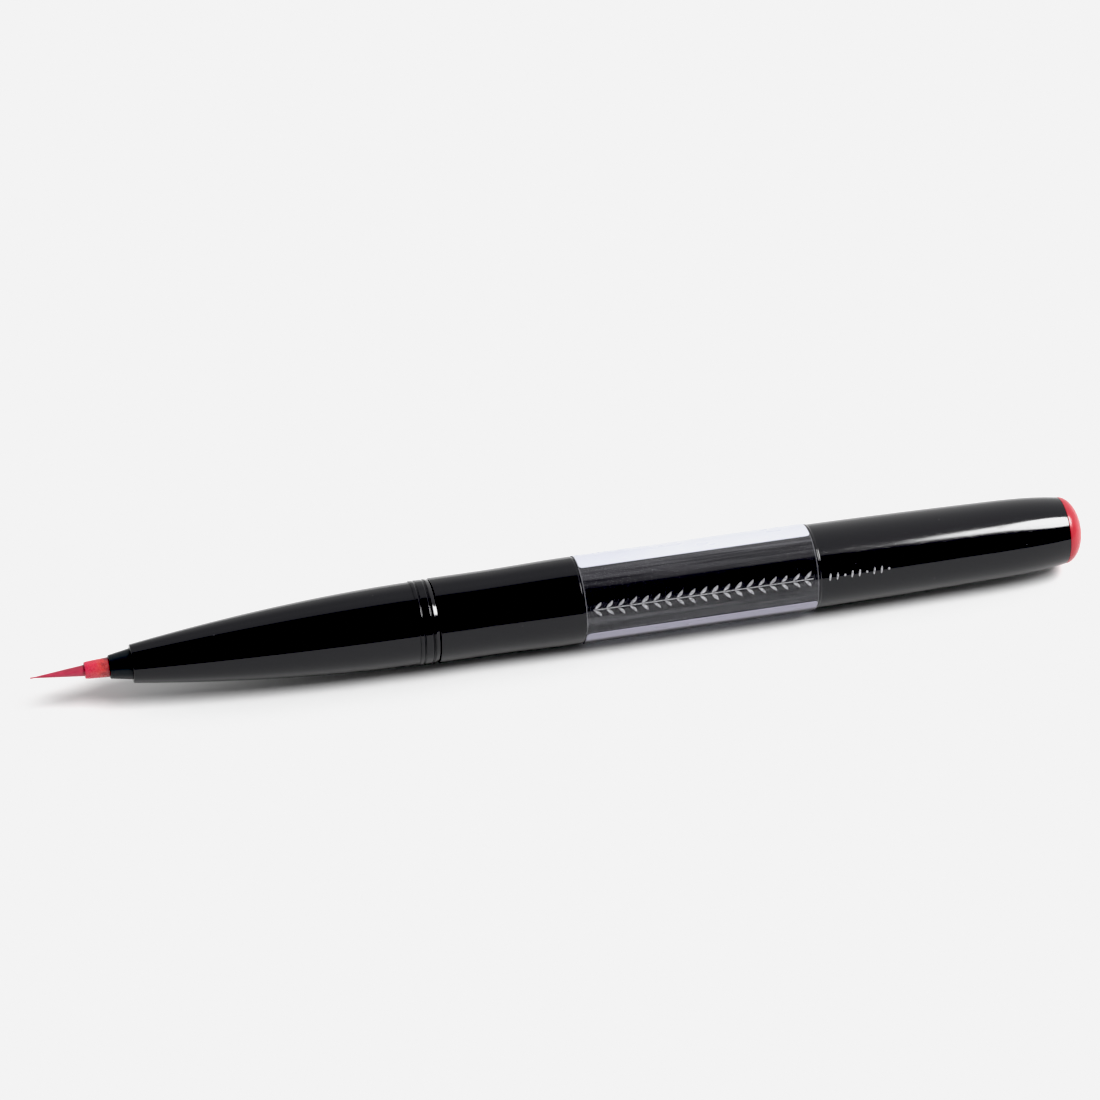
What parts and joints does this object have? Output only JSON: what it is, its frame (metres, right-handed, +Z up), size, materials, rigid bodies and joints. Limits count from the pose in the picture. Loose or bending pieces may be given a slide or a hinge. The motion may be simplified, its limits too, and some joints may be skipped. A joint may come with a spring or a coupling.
{
  "type": "calligraphy marker",
  "caption": "Uncapped brush-tip calligraphy marker with an ogive grip section, cap band, wrapped label, fibre ink reservoir and domed tail plug.",
  "frame": {"origin": "on the pen's axis, in the middle of the cap band at the back of the front section", "axes": "+X along the axis from the tip towards the tail, +Z up, -Y towards the clear window of the label"},
  "size_m": [0.1331, 0.011, 0.011],
  "materials": {
    "point_red": "ink-wet moulded fibre point",
    "ferrule_red": "ink-stained translucent polypropylene",
    "collar_black": "satin black",
    "body_black": "polished black",
    "wick_fibre": "bonded fibre, ink-soaked",
    "bush_natural": "natural polypropylene",
    "reservoir_fibre": "bonded fibre, ink-soaked",
    "reservoir_wrap": "thin clear film",
    "label_clear": "clear film",
    "label_white": "opaque white print on film",
    "plug_red": "polished red"
  },
  "bodies": {
    "barrel": {"barrel": "body_black", "reservoir_core": "reservoir_fibre", "reservoir_film": "reservoir_wrap", "label_film": "label_clear", "label_panel": "label_white"},
    "front_unit": {"front_section": "body_black", "nib_collar": "collar_black", "tip_holder": "ferrule_red", "relay_wick": "wick_fibre", "wick_bush": "bush_natural"},
    "brush_tip": {"brush_tip": "point_red"},
    "tail_plug": {"tail_plug": "plug_red"}
  },
  "joints": [
    {"name": "front_pull", "type": "slide", "parent": "barrel", "child": "front_unit", "axis": [-1, 0, 0], "range_m": [0, 0.016]},
    {"name": "tip_flex", "type": "hinge", "parent": "front_unit", "child": "brush_tip", "pos_m": [-0.04177, 0, 0], "axis": [0, 1, 0], "range_deg": [-25, 25], "stiffness_Nm_per_rad": 0.004},
    {"name": "plug_pull", "type": "slide", "parent": "barrel", "child": "tail_plug", "axis": [1, 0, 0], "range_m": [0, 0.007]}
  ]
}
